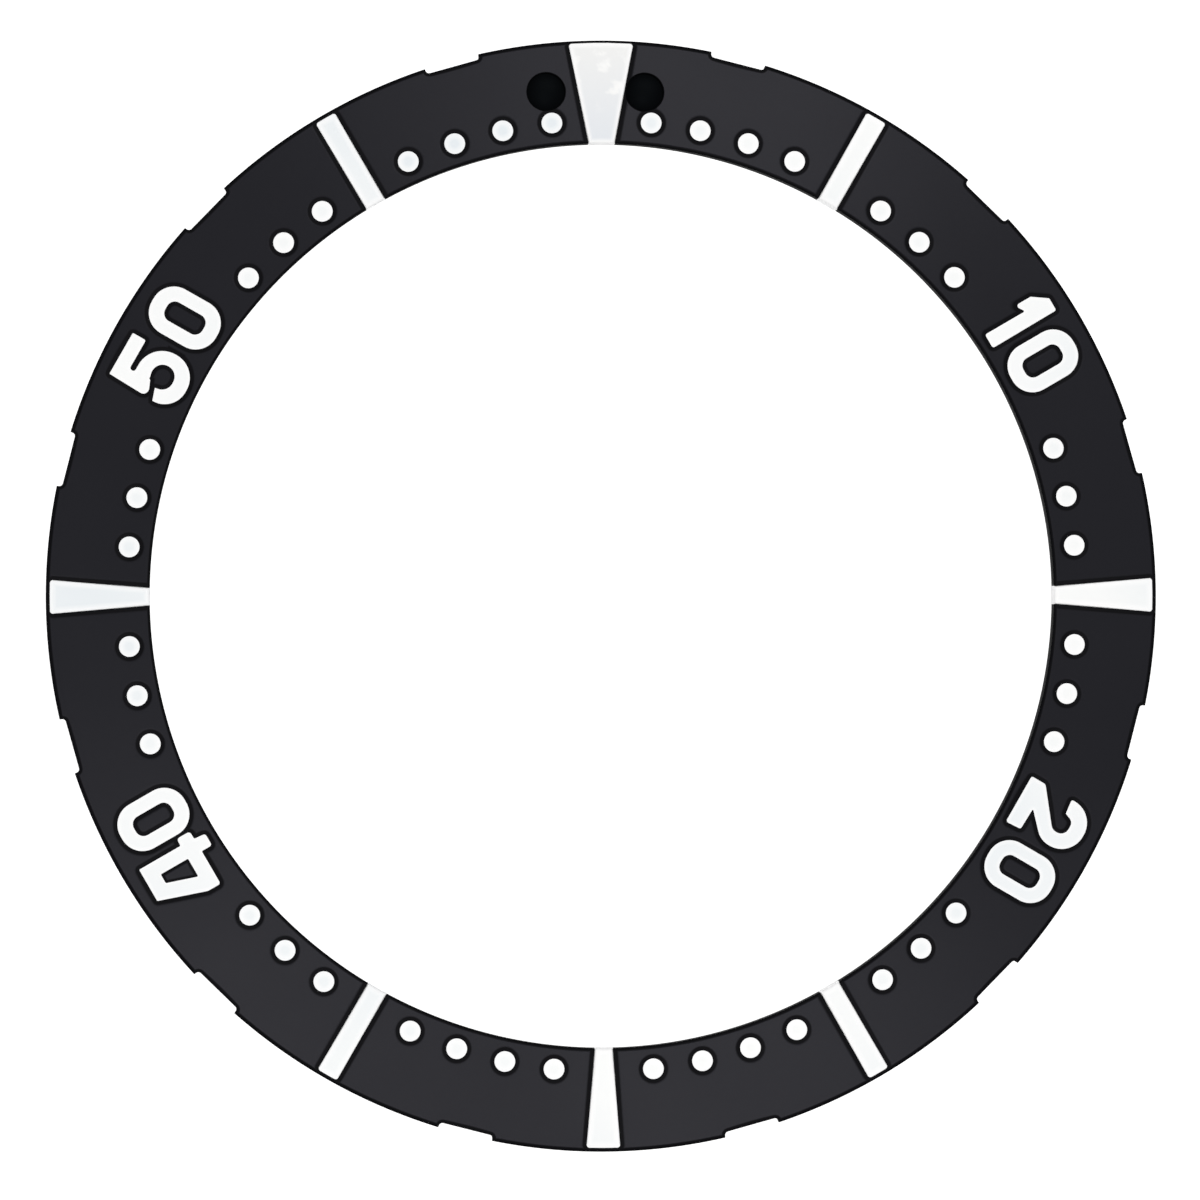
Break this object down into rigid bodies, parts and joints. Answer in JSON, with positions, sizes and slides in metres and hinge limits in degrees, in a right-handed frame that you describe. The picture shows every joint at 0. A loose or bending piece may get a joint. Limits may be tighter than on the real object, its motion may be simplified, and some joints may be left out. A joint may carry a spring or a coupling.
{
  "type": "watch bezel insert",
  "caption": "Flat-backed black bezel insert ring for a dive watch, with a conical face, notched rim, and minute marks and numerals filled in white.",
  "frame": {"origin": "on the ring's axis, at its flat back face", "axes": "+Z out of the dial side along the bore axis, +Y to the 12 o'clock marker, +X to 3 o'clock"},
  "size_m": [0.038, 0.038, 0.0013],
  "materials": {
    "anodised_aluminium": "satin black anodised",
    "white_fill": "satin white cured fill",
    "marker_compound": "pale, faintly mottled luminous compound"
  },
  "bodies": {
    "root": {"insert_ring": "anodised_aluminium", "zero_marker": "marker_compound", "bar_05": "white_fill", "bar_25": "white_fill", "bar_35": "white_fill", "bar_55": "white_fill", "wedge_15": "white_fill", "wedge_30": "white_fill", "wedge_45": "white_fill", "numeral_10_one": "white_fill", "numeral_10_zero": "white_fill", "numeral_20_two": "white_fill", "numeral_20_zero": "white_fill", "numeral_40_four": "white_fill", "numeral_40_zero": "white_fill", "numeral_50_five": "white_fill", "numeral_50_zero": "white_fill", "dots_01_04": "white_fill", "dots_06_08": "white_fill", "dots_12_14": "white_fill", "dots_16_18": "white_fill", "dots_22_24": "white_fill", "dots_26_29": "white_fill", "dots_31_34": "white_fill", "dots_36_38": "white_fill", "dots_42_44": "white_fill", "dots_46_48": "white_fill", "dots_52_54": "white_fill", "dots_56_59": "white_fill"}
  },
  "joints": []
}
